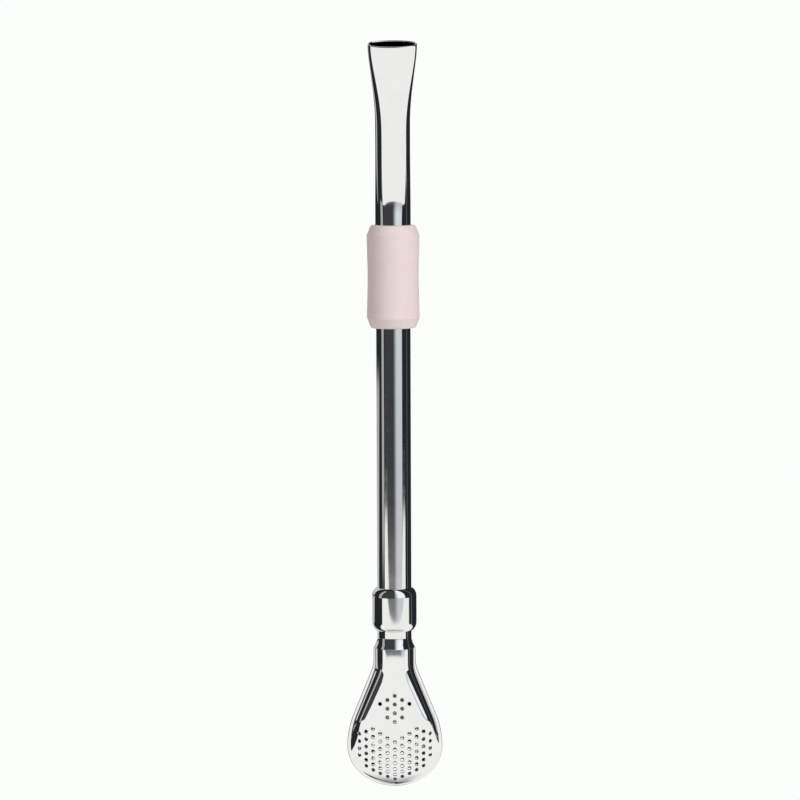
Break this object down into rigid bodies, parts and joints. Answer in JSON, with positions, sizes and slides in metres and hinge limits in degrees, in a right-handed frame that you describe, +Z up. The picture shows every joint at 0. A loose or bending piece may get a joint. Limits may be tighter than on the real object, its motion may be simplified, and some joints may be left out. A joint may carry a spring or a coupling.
{
  "type": "spoon bombilla",
  "caption": "Stainless drinking straw for mate: a bent flat mouthpiece, a straight stem with a silicone grip, and a perforated spoon filter that unscrews at a collar.",
  "frame": {"origin": "the lowest point of the filter's tip, on the stem's axis", "axes": "+Z up along the stem, -Y towards the drinker, which is the side that the mouthpiece bends to, +X to the right seen from there"},
  "size_m": [0.0242, 0.0225, 0.19],
  "materials": {
    "polished_steel": "18/8 stainless steel, mirror polished",
    "grip_silicone": "matte moulded silicone, pale pink",
    "seal_silicone": "clear white silicone"
  },
  "bodies": {
    "filter": {"threaded_neck": "polished_steel", "front_shell": "polished_steel", "back_shell": "polished_steel"},
    "seal": {"seal_ring": "seal_silicone"},
    "stem": {"collar": "polished_steel", "stem_tube": "polished_steel", "mouthpiece": "polished_steel"},
    "grip": {"grip_sleeve": "grip_silicone"}
  },
  "joints": [
    {"name": "stem_lift", "type": "slide", "parent": "filter", "child": "seal", "axis": [0, 0, 1], "range_m": [0, 0.00375]},
    {"name": "stem_unscrew", "type": "hinge", "parent": "seal", "child": "stem", "pos_m": [0, 0, 0.0451], "axis": [0, 0, 1], "range_deg": [0, 1800]},
    {"name": "grip_slide", "type": "slide", "parent": "stem", "child": "grip", "axis": [0, 0, 1], "range_m": [-0.066, 0.002]}
  ],
  "couplings": [
    {"joint": "stem_unscrew", "follows": "stem_lift", "rad_per_m": 8377.6}
  ]
}
